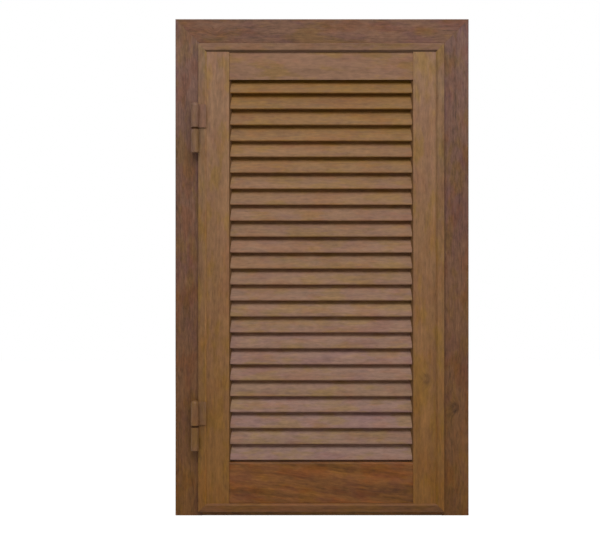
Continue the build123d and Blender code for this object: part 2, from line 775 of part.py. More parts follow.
def make_bolt_knob(name, knob_z):
    """Thumb knob, with a stem through the stile's slot into the bolt."""
    head_y = leaf_back_y + plate_thickness + knob_gap
    with BuildPart() as knob:
        with BuildSketch(Plane(origin=(bolt_x, bolt_y, knob_z), z_dir=(0, 1, 0))):
            Circle(knob_stem_radius)
        extrude(amount=head_y - bolt_y)
        with BuildSketch(Plane(origin=(bolt_x, head_y, knob_z), z_dir=(0, 1, 0))):
            Circle(knob_radius)
        extrude(amount=knob_length)
        fillet(knob.edges().filter_by(GeomType.CIRCLE).sort_by(Axis.Y)[-1], radius=knob_round)
    save(knob, name)


def make_bolt_plate(name, middle):
    """Slotted guide plate on the stile's back."""
    with BuildPart() as plate:
        with BuildSketch(Plane.XZ.offset(-leaf_back_y)):
            with Locations((bolt_x, middle)):
                RectangleRounded(plate_width, plate_height, plate_round)
        extrude(amount=-plate_thickness)
        cut_bolt_slot(middle, leaf_back_y, plate_thickness)
        for z in plate_screw_heights:
            if abs(z - middle) < plate_height / 2:
                countersink((bolt_x, leaf_back_y + plate_thickness, z), (0, -1, 0), plate_screw_radius,
                            plate_screw_head_radius, plate_screw_head_height, plate_thickness)
    save(plate, name)


def make_bolt_plate_screws():
    """Four small countersunk screws, two in each guide plate."""
    with BuildPart() as screws:
        for z in plate_screw_heights:
            flat_screw((bolt_x, leaf_back_y + plate_thickness, z), (0, -1, 0), plate_screw_radius,
                       plate_screw_head_radius, plate_screw_head_height, plate_screw_length)
    save(screws, "bolt_plate_screws")


os.makedirs("parts", exist_ok=True)

make_jambs()
make_head()
make_sill()
make_head_corner_cleats()
make_sill_brackets()
make_frame_seal()
make_bolt_keepers()
make_leaf_edges()
make_stiles()
make_rails()
make_leaf_corner_cleats()
make_rail_spigots()
make_spigot_screws()
make_slats()
make_slat_combs()
make_hinge_pins()
make_hinge_washers()
make_pintle_screws()
make_strap_screws()
for place, base in (("upper", upper_hinge_z), ("lower", lower_hinge_z)):
    make_pintle(f"{place}_hinge_pintle", base)
    make_strap(f"{place}_hinge_strap", base)

make_bolt("upper_bolt", upper_knob_z, leaf_top - tube_start - bolt_tip_inset)
make_bolt("lower_bolt", lower_knob_z, leaf_bottom + tube_start + bolt_tip_inset)
make_bolt_knob("upper_bolt_knob", upper_knob_z)
make_bolt_knob("lower_bolt_knob", lower_knob_z)
make_bolt_plate("upper_bolt_plate", upper_slot_z)
make_bolt_plate("lower_bolt_plate", lower_slot_z)
make_bolt_plate_screws()
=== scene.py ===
from math import pi, radians, tan

import bmesh
import bpy
from bpy.props import FloatProperty, FloatVectorProperty, IntProperty, PointerProperty
from mathutils import Matrix, Vector


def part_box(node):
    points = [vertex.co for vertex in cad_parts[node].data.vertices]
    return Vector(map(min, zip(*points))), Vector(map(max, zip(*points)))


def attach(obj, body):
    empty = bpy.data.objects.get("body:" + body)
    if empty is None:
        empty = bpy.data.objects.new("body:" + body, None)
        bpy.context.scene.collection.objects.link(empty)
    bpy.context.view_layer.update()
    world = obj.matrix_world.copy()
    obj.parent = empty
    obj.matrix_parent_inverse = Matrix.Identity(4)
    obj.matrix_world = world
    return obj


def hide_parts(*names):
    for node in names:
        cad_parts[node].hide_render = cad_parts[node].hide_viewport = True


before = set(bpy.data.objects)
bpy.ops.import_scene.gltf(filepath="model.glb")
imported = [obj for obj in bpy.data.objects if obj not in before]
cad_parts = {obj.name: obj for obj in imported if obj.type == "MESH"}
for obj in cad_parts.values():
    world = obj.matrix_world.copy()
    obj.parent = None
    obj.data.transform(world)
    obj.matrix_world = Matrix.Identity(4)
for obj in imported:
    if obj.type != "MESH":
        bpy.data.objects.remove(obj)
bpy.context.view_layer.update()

bl_info = {
    "name": "Louvred Shutter Door",
    "version": (1, 0, 0),
    "blender": (4, 5, 0),
    "location": "3D View > Sidebar > Shutter Door",
    "description": "Finishes, seal, screws and knobs of a wood-effect shutter door in its frame",
    "category": "Object",
}

SLATS = tuple(f"slat_{number:02d}" for number in range(1, 25))
SLAT_LEAN = radians(25.0)
HINGE_LEAVES = ("upper_hinge_pintle", "lower_hinge_pintle", "upper_hinge_strap", "lower_hinge_strap")

# Corners closer than this are merged
MERGE = 1e-6


def tone(name, description, default):
    """One coating or metal colour that a user may change."""
    return FloatVectorProperty(name=name, description=description, default=default, size=3,
                               subtype="COLOR", min=0.0, max=1.0)


def length(name, description, default):
    """One size in metres that a user may change."""
    return FloatProperty(name=name, description=description, default=default, min=0.0,
                         unit="LENGTH", subtype="DISTANCE")


def amount(name, description, default):
    """One plain strength that a user may change."""
    return FloatProperty(name=name, description=description, default=default, min=0.0, max=1.0,
                         subtype="FACTOR")


class ShutterFinishes(bpy.types.PropertyGroup):
    """Colours of the coated members, metals, plastic and rubber."""

    # The coated members' tones, and their run from head tone to foot tone, are partly the print's own
    # colour and partly painted light and shade, matched to how brightly each member and height is lit:
    # most members are darker towards the foot, and the rim and rail at the bottom are darker than those
    # at the top.
    frame_tone: tone("Frame Head", "Colour of the frame's print at the head", (0.157, 0.083, 0.062))
    frame_foot: tone("Frame Foot", "Colour of the frame's print at its foot", (0.141, 0.060, 0.016))
    head_tone: tone("Head", "Colour of the frame's head", (0.164, 0.081, 0.047))
    sill_tone: tone("Sill", "Colour of the sill", (0.234, 0.103, 0.017))
    rim_tone: tone("Rim Head", "Colour of the leaf's rim at its top", (0.217, 0.128, 0.072))
    rim_foot: tone("Rim Foot", "Colour of the leaf's rim at its foot", (0.199, 0.089, 0.018))
    top_rim_tone: tone("Top Rim", "Colour of the rim over the top rail", (0.195, 0.103, 0.056))
    low_rim_tone: tone("Low Rim", "Colour of the rim under the bottom rail", (0.150, 0.063, 0.022))
    stile_tone: tone("Stiles Head", "Colour of the stiles at their top", (0.264, 0.149, 0.086))
    stile_foot: tone("Stiles Foot", "Colour of the stiles at their foot", (0.215, 0.094, 0.020))
    slat_tone: tone("Slats Head", "Colour of the upper slats", (0.196, 0.086, 0.004))
    slat_foot: tone("Slats Foot", "Colour of the lower slats", (0.274, 0.161, 0.122))
    top_rail_tone: tone("Top Rail", "Colour of the top rail", (0.236, 0.126, 0.072))
    low_rail_tone: tone("Bottom Rail", "Colour of the bottom rail", (0.191, 0.075, 0.021))
    hinge_tone: tone("Hinges Head", "Colour of the upper hinge", (0.195, 0.107, 0.072))
    hinge_foot: tone("Hinges Foot", "Colour of the lower hinge", (0.184, 0.088, 0.031))
    golden_tint: tone("Golden Tint", "What the golden patches multiply the colour by", (0.98, 1.0, 0.55))
    red_tint: tone("Red Tint", "What the reddish patches multiply the colour by", (1.0, 0.84, 0.72))
    violet_tint: tone("Violet Tint", "What the violet patches multiply the colour by", (0.86, 0.80, 1.0))
    grain: amount("Grain", "Strength of the flecks and fine streaks along each member", 0.80)
    figure: amount("Figure", "Strength of the broad light and dark bands", 0.42)
    golden: amount("Golden Patches", "Strength of the golden patches", 0.75)
    stains: amount("Stains", "Strength of the reddish and violet patches", 0.85)
    joint_line: amount("Joint Line", "Darkness of the hairline in the mitred corners", 0.16)
    rim_face: length("Rim Face", "Width of the rim's flat face, up to its inner slope", 0.0145)
    print_relief: length("Print Relief", "Depth of the pores embossed in the coating", 0.00012)
    zinc_tone: tone("Zinc", "Colour of the zinc-plated steel", (0.40, 0.41, 0.43))
    aluminium_tone: tone("Bare Aluminium", "Colour of sawn and cast aluminium", (0.68, 0.69, 0.70))
    plate_tone: tone("Guide Plates", "Colour of the painted guide plates", (0.055, 0.034, 0.022))
    plastic_tone: tone("Plastic", "Colour of the keepers and knobs", (0.060, 0.034, 0.020))
    comb_tone: tone("Comb Plastic", "Colour of the slat combs", (0.145, 0.070, 0.027))
    washer_tone: tone("Washer Plastic", "Colour of the hinge washers", (0.075, 0.032, 0.012))
    rubber_tone: tone("Rubber", "Colour of the weather seal", (0.022, 0.021, 0.020))


class ShutterFittings(bpy.types.PropertyGroup):
    """Sizes of the seal, the screws and the knobs."""

    bulb_radius: length("Bulb Radius", "Radius of the seal's hollow bulb", 0.0031)
    foot_width: length("Foot Width", "Width of the seal's foot on the stop", 0.0070)
    foot_height: length("Foot Height", "Height of the seal's foot", 0.0014)
    pan_radius: length("Pan Head Radius", "Radius of the pan-head screws", 0.0045)
    pan_height: length("Pan Head Height", "Height of the pan-head screws", 0.0020)
    flat_radius: length("Flat Head Radius", "Radius of the pintles' countersunk screws", 0.0045)
    flat_height: length("Flat Head Height", "Depth of the pintles' countersunk heads", 0.0020)
    small_radius: length("Small Head Radius", "Radius of the guide plates' screws", 0.0036)
    small_height: length("Small Head Height", "Depth of the guide plates' screw heads", 0.0014)
    knob_radius: length("Knob Radius", "Outer radius of the bolts' knobs", 0.0070)
    knob_ribs: IntProperty(name="Knob Ribs", description="Number of ribs round each knob", default=12,
                           min=6, max=20)


class ShutterStage(bpy.types.PropertyGroup):
    """Camera, lamps and floor."""

    camera_place: FloatVectorProperty(name="Camera Place", description="Where the camera stands",
                                      default=(-0.0489, -2.82, 0.5484), size=3, subtype="TRANSLATION",
                                      unit="LENGTH")
    view_width: length("View Width", "Width that the image covers at the frame's face", 1.3298)
    world_level: amount("World Level", "Strength of the even light from all round", 0.33)
    key_power: FloatProperty(name="Key Power", description="Power of the softbox above the front",
                             default=86.0, min=0.0, unit="POWER")
    fill_power: FloatProperty(name="Fill Power", description="Power of the softbox behind the door",
                              default=34.0, min=0.0, unit="POWER")
    key_colour: tone("Softbox Colour", "Colour of both softboxes", (0.97, 0.98, 1.0))
    floor_colour: tone("Floor Colour", "Colour of the floor", (0.62, 0.62, 0.61))
    floor_reach: length("Floor Reach", "Distance from the door to each edge of the floor", 4.6)


class Wiring:
    """Adds nodes to one tree, left to right, and joins each to the sockets it is given."""

    ROWS, ROW_HEIGHT, COLUMN_WIDTH = 4, 210, 190

    def __init__(self, tree, columns_left=0):
        self.tree = tree
        self.made = columns_left * self.ROWS

    def node(self, kind, inputs=None, **settings):
        """One node with its settings, and with each named input linked or set."""
        node = self.tree.nodes.new(kind)
        column, row = divmod(self.made, self.ROWS)
        node.location = (self.COLUMN_WIDTH * column, -self.ROW_HEIGHT * row)
        self.made += 1
        for setting, value in settings.items():
            setattr(node, setting, value)
        for socket, value in (inputs or {}).items():
            self.feed(node.inputs[socket], value)
        return node

    def feed(self, socket, value):
        """Links a socket, or sets its plain value."""
        if isinstance(value, bpy.types.NodeSocket):
            self.tree.links.new(value, socket)
        else:
            socket.default_value = value

    def group(self, name, make, inputs):
        """A shared shader group, which is built the first time that it is asked for."""
        tree = bpy.data.node_groups.get(name) or make()
        return self.node("ShaderNodeGroup", inputs, node_tree=tree)

    def math(self, operation, first, second=0.0, third=0.0):
        """The result of one Math node."""
        inputs = {0: first, 1: second, 2: third}
        return self.node("ShaderNodeMath", inputs, operation=operation).outputs[0]

    def bell(self, value, narrowness):
        """1 where the value is 0, with a smooth fall to 0 on both sides."""
        square = self.math("MULTIPLY", value, value)
        return self.math("EXPONENT", self.math("MULTIPLY", square, -narrowness))

    def vector(self, operation, first, second=(0.0, 0.0, 0.0)):
        """The vector result of one Vector Math node."""
        return self.node("ShaderNodeVectorMath", {0: first, 1: second}, operation=operation).outputs[0]

    def scale(self, vector, factor):
        """A vector or a colour times one value."""
        inputs = {0: vector, "Scale": factor}
        return self.node("ShaderNodeVectorMath", inputs, operation="SCALE").outputs[0]

    def split(self, vector):
        """The X, Y and Z of a vector."""
        return self.node("ShaderNodeSeparateXYZ", {0: vector}).outputs

    def noise(self, place, stretch, detail, roughness=0.5):
        """Noise from 0 to 1, read at a place that is stretched along each axis."""
        read = self.vector("MULTIPLY", place, stretch)
        inputs = {"Vector": read, "Scale": 1.0, "Detail": detail, "Roughness": roughness}
        return self.node("ShaderNodeTexNoise", inputs, noise_dimensions="3D").outputs[0]

    def swing(self, place, stretch, detail, roughness=0.5):
        """Noise that swings to both sides of 0."""
        return self.math("SUBTRACT", self.noise(place, stretch, detail, roughness), 0.5)

    def ramp(self, value, low, high, start=0.0, end=1.0):
        """A smooth step from start to end as the value goes from low to high."""
        inputs = {"Value": value, "From Min": low, "From Max": high, "To Min": start, "To Max": end}
        return self.node("ShaderNodeMapRange", inputs, interpolation_type="SMOOTHSTEP").outputs[0]

    def blend(self, factor, first, second, kind="MIX"):
        """Two colours mixed by a factor."""
        inputs = {0: factor, 6: first, 7: second}
        return self.node("ShaderNodeMix", inputs, data_type="RGBA", blend_type=kind).outputs[2]


def group_tree(name, inputs, outputs):
    """A new shader group: its tree, its wiring, its inputs to read and its outputs to feed."""
    tree = bpy.data.node_groups.new(name, "ShaderNodeTree")
    for socket, (kind, default) in inputs.items():
        made = tree.interface.new_socket(name=socket, in_out="INPUT", socket_type=kind)
        if default is not None:
            made.default_value = default
    for socket, kind in outputs.items():
        tree.interface.new_socket(name=socket, in_out="OUTPUT", socket_type=kind)
    wiring = Wiring(tree)
    start = wiring.node("NodeGroupInput")
    end = wiring.node("NodeGroupOutput")
    return tree, wiring, start.outputs, end.inputs


COLOUR = "NodeSocketColor"
NUMBER = "NodeSocketFloat"
PLACE = "NodeSocketVector"
PLAIN = (0.5, 0.5, 0.5, 1.0)

# What each group that finishes a whole surface puts out
SURFACE = {"Colour": COLOUR, "Roughness": NUMBER, "Height": NUMBER}

# Repeats per metre of each part of the print: along the grain, through the member, across the grain
SWAY, FIGURE, FLECK = (4.0, 10.0, 16.0), (3.0, 38.0, 56.0), (55.0, 130.0, 170.0)
STREAK, FINE, PORE = (20.0, 260.0, 340.0), (60.0, 700.0, 1100.0), (80.0, 1100.0, 1700.0)
PATCH = (13.0, 32.0, 34.0)

# How far the lines of the grain sway across the member, in metres
SWAY_REACH = 0.024

# A knot, in knot sizes: how it is drawn out along the grain, how far the grain bulges round it, and
# where its dark ring lies and how sharp that is
KNOT_STRETCH, KNOT_BULGE = (0.75, 0.0, 1.0), 1.4
KNOT_RING, RING_SHARPNESS = 0.70, 2.4

# Each tint of the patches, the input that holds its strength, and its own stretch of noise
TINT_PATCHES = (("Golden Tint", "Golden", (0.0, 0.0, 0.0)), ("Red Tint", "Stains", (3.1, 1.7, 5.3)),
                ("Violet Tint", "Stains", (8.2, 4.4, 2.9)))


def knot_marks(w, given):
    """A knot's swelling, which bulges the grain, and its shade, a dark ring open to one side."""
    from_knot = w.vector("SUBTRACT", given["Grain Place"], given["Knot Place"])
    flat = w.vector("MULTIPLY", from_knot, KNOT_STRETCH)
    reach = w.node("ShaderNodeVectorMath", {0: flat}, operation="LENGTH").outputs["Value"]
    away = w.math("DIVIDE", reach, given["Knot Size"])
    swelling = w.bell(away, 0.5)
    off_ring = w.math("MULTIPLY", w.math("SUBTRACT", away, KNOT_RING), RING_SHARPNESS)
    aside = w.math("DIVIDE", w.split(from_knot)[2], given["Knot Size"])
    open_side = w.ramp(aside, -0.2, 0.9, 1.0, 0.25)
    shade = w.math("MULTIPLY_ADD", w.bell(off_ring, 1.0), open_side, w.math("MULTIPLY", swelling, 0.35))
    return swelling, shade


def wood_print_group():
    """Wood print of the coating: figure, flecks, pores, tinted patches and one knot.

    Grain is read with X along the member, Y through it and Z across its face. Place is the plain
    object place, which takes the colour from its head tone to its foot tone, a run that is partly
    the print's own and partly painted light and shade.
    """
    tree, w, given, out = group_tree(
        "Wood Print",
        {"Grain Place": (PLACE, None), "Place": (PLACE, None), "Shift": (PLACE, (0.0, 0.0, 0.0)),
         "Head Tone": (COLOUR, PLAIN), "Foot Tone": (COLOUR, PLAIN), "Golden Tint": (COLOUR, PLAIN),
         "Red Tint": (COLOUR, PLAIN), "Violet Tint": (COLOUR, PLAIN), "Figure": (NUMBER, 0.5),
         "Grain": (NUMBER, 0.5), "Golden": (NUMBER, 0.5), "Stains": (NUMBER, 0.5),
         "Head Height": (NUMBER, 1.1), "Foot Height": (NUMBER, 0.0),
         "Knot Place": (PLACE, (9.0, 0.0, 9.0)), "Knot Size": (NUMBER, 0.009),
         "Knot Depth": (NUMBER, 0.0)},
        SURFACE)

    # Lines of the grain, which sway a little and bulge round the knot
    swelling, knot_shade = knot_marks(w, given)
    place = w.vector("ADD", given["Grain Place"], given["Shift"])
    along, through, across = w.split(place)
    swayed = w.math("MULTIPLY_ADD", w.swing(place, SWAY, 2.0), SWAY_REACH, across)
    bulge = w.math("MULTIPLY", swelling, given["Knot Size"])
    bent = w.math("MULTIPLY_ADD", bulge, KNOT_BULGE, swayed)
    lines = w.node("ShaderNodeCombineXYZ", {0: along, 1: through, 2: bent}).outputs[0]
    figure = w.swing(lines, FIGURE, 2.5, 0.55)
    fleck = w.swing(lines, FLECK, 3.0, 0.66)
    streak = w.swing(lines, STREAK, 3.0, 0.62)
    fine = w.swing(lines, FINE, 2.0)
    pore = w.ramp(w.noise(lines, PORE, 1.0), 0.60, 0.72)

    # How light the print is: broad bands, fibres, pores and the knot
    bands = w.math("MULTIPLY_ADD", w.math("MULTIPLY", figure, given["Figure"]), 1.5, 1.0)
    fibres = w.math("ADD", fleck, w.math("MULTIPLY_ADD", fine, 0.6, w.math("MULTIPLY", streak, 0.7)))
    level = w.math("MULTIPLY_ADD", fibres, given["Grain"], bands)
    level = w.math("SUBTRACT", level, w.math("MULTIPLY", pore, 0.16))
    level = w.math("SUBTRACT", level, w.math("MULTIPLY", knot_shade, given["Knot Depth"]))

    # Colour: from the head tone to the foot tone, partly print and partly painted light and shade, with
    # patches of three tints
    span = {"Value": w.split(given["Place"])[2], "From Min": given["Head Height"],
            "From Max": given["Foot Height"]}
    to_foot = w.node("ShaderNodeMapRange", span).outputs[0]
    colour = w.scale(w.blend(to_foot, given["Head Tone"], given["Foot Tone"]), level)
    for tint, strength, offset in TINT_PATCHES:
        spot = w.noise(w.vector("ADD", place, offset), PATCH, 3.0, 0.58)
        share = w.math("MULTIPLY", w.ramp(spot, 0.47, 0.64), given[strength])
        colour = w.blend(share, colour, given[tint], "MULTIPLY")
    w.feed(out["Colour"], colour)

    dulled = w.math("MULTIPLY_ADD", streak, 0.22, 0.46)
    w.feed(out["Roughness"], w.math("ADD", dulled, w.math("MULTIPLY", pore, 0.12)))
    relief = w.math("ADD", w.math("MULTIPLY_ADD", streak, 0.35, 0.6), w.math("MULTIPLY", fine, 0.3))
    w.feed(out["Height"], w.math("SUBTRACT", relief, w.math("MULTIPLY", pore, 0.5)))
    return tree


def mitre_joint_group():
    """Mask of the hairline where mitred members meet, and the distance in from the outer edge."""
    tree, w, given, out = group_tree(
        "Mitre Joint",
        {"Place": (PLACE, None), "Middle": (NUMBER, 0.0), "Half Width": (NUMBER, 0.3),
         "Top": (NUMBER, 1.0), "Bottom": (NUMBER, 0.0), "Line Width": (NUMBER, 0.0005)},
        {"Mask": NUMBER, "Inset": NUMBER})
    across, _, height = w.split(given["Place"])
    side = w.math("ABSOLUTE", w.math("SUBTRACT", across, given["Middle"]))
    inset = w.math("SUBTRACT", given["Half Width"], side)
    down = w.math("SUBTRACT", given["Top"], height)
    up = w.math("SUBTRACT", height, given["Bottom"])
    upper = w.math("ABSOLUTE", w.math("SUBTRACT", inset, down))
    lower = w.math("ABSOLUTE", w.math("SUBTRACT", inset, up))
    nearest = w.math("DIVIDE", w.math("MINIMUM", upper, lower), given["Line Width"])
    w.feed(out["Mask"], w.ramp(nearest, 0.6, 1.8, 1.0, 0.0))
    w.feed(out["Inset"], w.math("MINIMUM", inset, w.math("MINIMUM", down, up)))
    return tree


# Repeats per metre of the marks, smears and dull spots of metal, and of the spark texture, flow clouds
# and dust of moulded pieces
MARKS, SMEARS, SPOTS = (2600.0, 2600.0, 90.0), (90.0, 90.0, 60.0), (700.0, 700.0, 700.0)
SPARK, FLOW, DUST = (2200.0, 2200.0, 2200.0), (60.0, 60.0, 60.0), (140.0, 140.0, 140.0)
DUST_COLOUR = (0.30, 0.28, 0.25, 1.0)


def worked_metal_group():
    """Plated, painted or sawn metal: fine marks along the work, dull spots and faint smears."""
    tree, w, given, out = group_tree(
        "Worked Metal",
        {"Place": (PLACE, None), "Tone": (COLOUR, PLAIN), "Marks": (NUMBER, 0.3),
         "Dullness": (NUMBER, 0.3)},
        SURFACE)
    marks = w.swing(given["Place"], MARKS, 3.0, 0.6)
    smears = w.swing(given["Place"], SMEARS, 3.0, 0.6)
    spots = w.ramp(w.noise(given["Place"], SPOTS, 2.0), 0.62, 0.74)
    level = w.math("MULTIPLY_ADD", smears, 0.35, w.math("MULTIPLY_ADD", marks, given["Marks"], 1.0))
    level = w.math("SUBTRACT", level, w.math("MULTIPLY", spots, 0.12))
    w.feed(out["Colour"], w.scale(given["Tone"], level))
    uneven = w.math("MULTIPLY_ADD", marks, 0.2, w.math("MULTIPLY", smears, 0.3))
    rough = w.math("ADD", given["Dullness"], uneven)
    w.feed(out["Roughness"], w.math("ADD", rough, w.math("MULTIPLY", spots, 0.15)))
    w.feed(out["Height"], w.math("MULTIPLY_ADD", marks, 0.5, 0.5))
    return tree


def moulded_skin_group():
    """Moulded plastic or rubber: fine spark texture, flow clouds and a little pale dust."""
    tree, w, given, out = group_tree(
        "Moulded Skin",
        {"Place": (PLACE, None), "Tone": (COLOUR, PLAIN), "Dust": (NUMBER, 0.2),
         "Dullness": (NUMBER, 0.5)},
        SURFACE)
    spark = w.swing(given["Place"], SPARK, 2.0)
    clouds = w.swing(given["Place"], FLOW, 3.0)
    level = w.math("MULTIPLY_ADD", clouds, 0.4, w.math("MULTIPLY_ADD", spark, 0.25, 1.0))
    dust = w.ramp(w.noise(given["Place"], DUST, 4.0, 0.65), 0.50, 0.78)
    dusted = w.math("MULTIPLY", dust, given["Dust"])
    w.feed(out["Colour"], w.blend(dusted, w.scale(given["Tone"], level), DUST_COLOUR))
    w.feed(out["Roughness"], w.math("MULTIPLY_ADD", clouds, 0.3, given["Dullness"]))
    w.feed(out["Height"], w.math("ADD", spark, 0.5))
    return tree


# Depth in metres and strength of the fine relief of metal and of moulded pieces
METAL_RELIEF, MOULDED_RELIEF = (0.00003, 0.35), (0.00006, 0.4)


def surface(name):
    """A new node material, its wiring, its Principled shader and the object place."""
    material = bpy.data.materials.new(name)
    material.use_nodes = True
    wiring = Wiring(material.node_tree, columns_left=3)
    shader = material.node_tree.nodes["Principled BSDF"]
    place = wiring.node("ShaderNodeTexCoord").outputs["Object"]
    return material, wiring, shader, place


def finish_surface(w, shader, colour, group, depth, strength):
    """Feeds the colour, the group's roughness and its height, as fine relief, into the shader."""
    w.feed(shader.inputs["Base Color"], colour)
    w.feed(shader.inputs["Roughness"], group.outputs["Roughness"])
    relief = {"Height": group.outputs["Height"], "Distance": depth, "Strength": strength}
    w.feed(shader.inputs["Normal"], w.node("ShaderNodeBump", relief).outputs[0])


# How the wood print lies on each coated member: turn lays the grain along the member, shift picks the
# stretch of print that it is cut from, and strengths are those of its figure, grain and stains. A
# knot is a place in the turned print and a depth, and edge is what multiplies the print on the
# rim's inner slope: painted shade and painted highlight, darker on the top rim's slope, which faces
# down, and lighter on the bottom and left rims' slopes, as the light falls on them.
UPRIGHT, LEVEL, ASKEW = pi / 2, 0.0, radians(-7.0)
JAMB_PRINT, RIM_PRINT, STILE_PRINT = (1.5, 1.5, 1.0), (1.1, 1.1, 0.6), (0.95, 0.95, 0.45)
PRINTS = {
    "jamb_hinge_side": dict(turn=UPRIGHT, shift=(0.0, 0.2, 1.3), strengths=JAMB_PRINT),
    "jamb_bolt_side": dict(turn=UPRIGHT, shift=(0.7, 0.2, 2.3), strengths=JAMB_PRINT,
                           knot=((0.239, 0.0, -0.294), 0.36)),
    "head": dict(turn=LEVEL, shift=(0.31, 0.0, 2.9), strengths=(1.2, 1.5, 1.0),
                 knot=((-0.237, 0.0, 1.074), 0.12)),
    "sill": dict(turn=LEVEL, shift=(1.9, 0.0, 0.4), strengths=JAMB_PRINT),
    "leaf_edge_left": dict(turn=UPRIGHT, shift=(2.1, 0.5, 0.0), strengths=RIM_PRINT, edge=1.42),
    "leaf_edge_right": dict(turn=UPRIGHT, shift=(3.0, 0.5, 0.8), strengths=RIM_PRINT, edge=1.0),
    "leaf_edge_top": dict(turn=LEVEL, shift=(4.3, 0.1, 0.0), strengths=RIM_PRINT, edge=0.62),
    "leaf_edge_bottom": dict(turn=LEVEL, shift=(4.9, 0.1, 2.2), strengths=RIM_PRINT, edge=1.30),
    "stile_left": dict(turn=UPRIGHT, shift=(5.2, 0.3, 0.0), strengths=STILE_PRINT),
    "stile_right": dict(turn=UPRIGHT, shift=(6.6, 0.3, 3.1), strengths=STILE_PRINT,
                        knot=((0.303, 0.0, -0.230), 0.32)),
    "rail_top": dict(turn=LEVEL, shift=(6.6, 0.0, 0.9), strengths=(0.85, 0.85, 0.45)),
    "rail_bottom": dict(turn=ASKEW, shift=(7.7, 0.0, 1.7), strengths=(2.8, 1.35, 1.18)),
    "slats": dict(turn=LEVEL, shift=(0.0, 0.0, 0.0), strengths=(0.9, 0.9, 0.7)),
    "hinges": dict(turn=UPRIGHT, shift=(8.8, 0.7, 2.6), strengths=(1.0, 1.0, 0.6)),
}

# What the head's tone is multiplied by at its upper and its lower edge
HEAD_SHADES = (0.93, 1.08)

# How far apart in the print two slats may be cut, and the two tints between which each has its own
SLAT_SPREAD = (7.0, 0.0, 3.0)
SLAT_TINTS = ((0.98, 0.98, 0.87, 1.0), (1.02, 1.01, 1.14, 1.0))

# A height far below the frame, which is mitred at its head alone
NO_LOWER_MITRE = -9.0

# Colour of the hairline in the mitred corners
JOINT_COLOUR = (0.02, 0.01, 0.006, 1.0)

# Distance before and past the fold of the rim's face over which the painted shade and highlight of its
# slope set in
FOLD_BEFORE, FOLD_PAST = 0.0002, 0.0006

# Strength of the coating's relief, and its specular level
RELIEF_STRENGTH, COATING_GLOSS = 0.5, 0.18


def slat_cut(w, place):
    """A print shift and a tone that differ from slat to slat, read from the slats' slope and pitch."""
    low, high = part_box("slat_01")
    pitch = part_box("slat_02")[0].z - low.z
    slope = 1.0 / tan(SLAT_LEAN)
    foot = (low.z + high.z) / 2 - slope * (low.y + high.y) / 2
    _, depth, height = w.split(place)
    line = w.math("MULTIPLY_ADD", depth, -slope, height)
    number = w.math("ROUND", w.math("DIVIDE", w.math("SUBTRACT", line, foot), pitch))
    random = w.node("ShaderNodeTexWhiteNoise", {"W": number}, noise_dimensions="1D").outputs
    return w.vector("MULTIPLY", random["Color"], SLAT_SPREAD), random["Value"]


def with_joints_and_painted_slope_light(w, place, colour, mitre, edge):
    """The colour with a hairline in the mitred corners and with painted shade and highlight on the rim's
    inner slope.
    """
    look = bpy.context.scene.shutter_finishes
    joint = w.group("Mitre Joint", mitre_joint_group, {"Place": place, **mitre})
    mask = w.math("MULTIPLY", joint.outputs["Mask"], look.joint_line)
    colour = w.blend(mask, colour, JOINT_COLOUR)
    if edge is None:
        return colour
    # Painted shade and highlight: the print on the rim's inner slope is multiplied by the member's edge
    # factor
    shade = w.ramp(joint.outputs["Inset"], look.rim_face - FOLD_BEFORE, look.rim_face + FOLD_PAST, 1.0,
                   edge)
    return w.scale(colour, shade)


def wood_coating(name, head_tone, foot_tone, turn, shift, strengths, knot=None, edge=None, mitre=None,
                 heights=None, slats=False):
    """One member's wood-effect coating.

    Turn, shift, strengths, knot and edge are the member's line in PRINTS. Mitre holds the outline of
    the mitred members, and heights are where the head tone and the foot tone lie.
    """
    look = bpy.context.scene.shutter_finishes
    material, w, shader, place = surface(name)
    turned_place = w.node("ShaderNodeMapping", {"Vector": place, "Rotation": (0.0, turn, 0.0)})
    figure, grain, stains = strengths
    inputs = {"Grain Place": turned_place.outputs[0], "Place": place, "Shift": shift,
              "Head Tone": (*head_tone, 1.0), "Foot Tone": (*foot_tone, 1.0),
              "Golden Tint": (*look.golden_tint, 1.0), "Red Tint": (*look.red_tint, 1.0),
              "Violet Tint": (*look.violet_tint, 1.0), "Golden": look.golden,
              "Figure": look.figure * figure, "Grain": look.grain * grain,
              "Stains": look.stains * stains}
    if knot:
        inputs["Knot Place"], inputs["Knot Depth"] = knot
    if heights:
        inputs["Head Height"], inputs["Foot Height"] = heights
    if slats:
        inputs["Shift"], own_tone = slat_cut(w, place)
    group = w.group("Wood Print", wood_print_group, inputs)
    colour = group.outputs["Colour"]
    if slats:
        colour = w.vector("MULTIPLY", colour, w.blend(own_tone, *SLAT_TINTS))
    if mitre:
        colour = with_joints_and_painted_slope_light(w, place, colour, mitre, edge)
    finish_surface(w, shader, colour, group, look.print_relief, RELIEF_STRENGTH)
    shader.inputs["Specular IOR Level"].default_value = COATING_GLOSS
    return material


def metal(name, colour, metallic, marks, dullness, gloss=0.5):
    """Plated, painted or bare metal."""
    material, w, shader, place = surface(name)
    inputs = {"Place": place, "Tone": (*colour, 1.0), "Marks": marks, "Dullness": dullness}
    group = w.group("Worked Metal", worked_metal_group, inputs)
    finish_surface(w, shader, group.outputs["Colour"], group, *METAL_RELIEF)
    shader.inputs["Metallic"].default_value = metallic
    shader.inputs["Specular IOR Level"].default_value = gloss
    return material


def moulded(name, colour, dust, dullness, gloss):
    """Moulded plastic or rubber."""
    material, w, shader, place = surface(name)
    inputs = {"Place": place, "Tone": (*colour, 1.0), "Dust": dust, "Dullness": dullness}
    group = w.group("Moulded Skin", moulded_skin_group, inputs)
    finish_surface(w, shader, group.outputs["Colour"], group, *MOULDED_RELIEF)
    shader.inputs["Specular IOR Level"].default_value = gloss
    return material


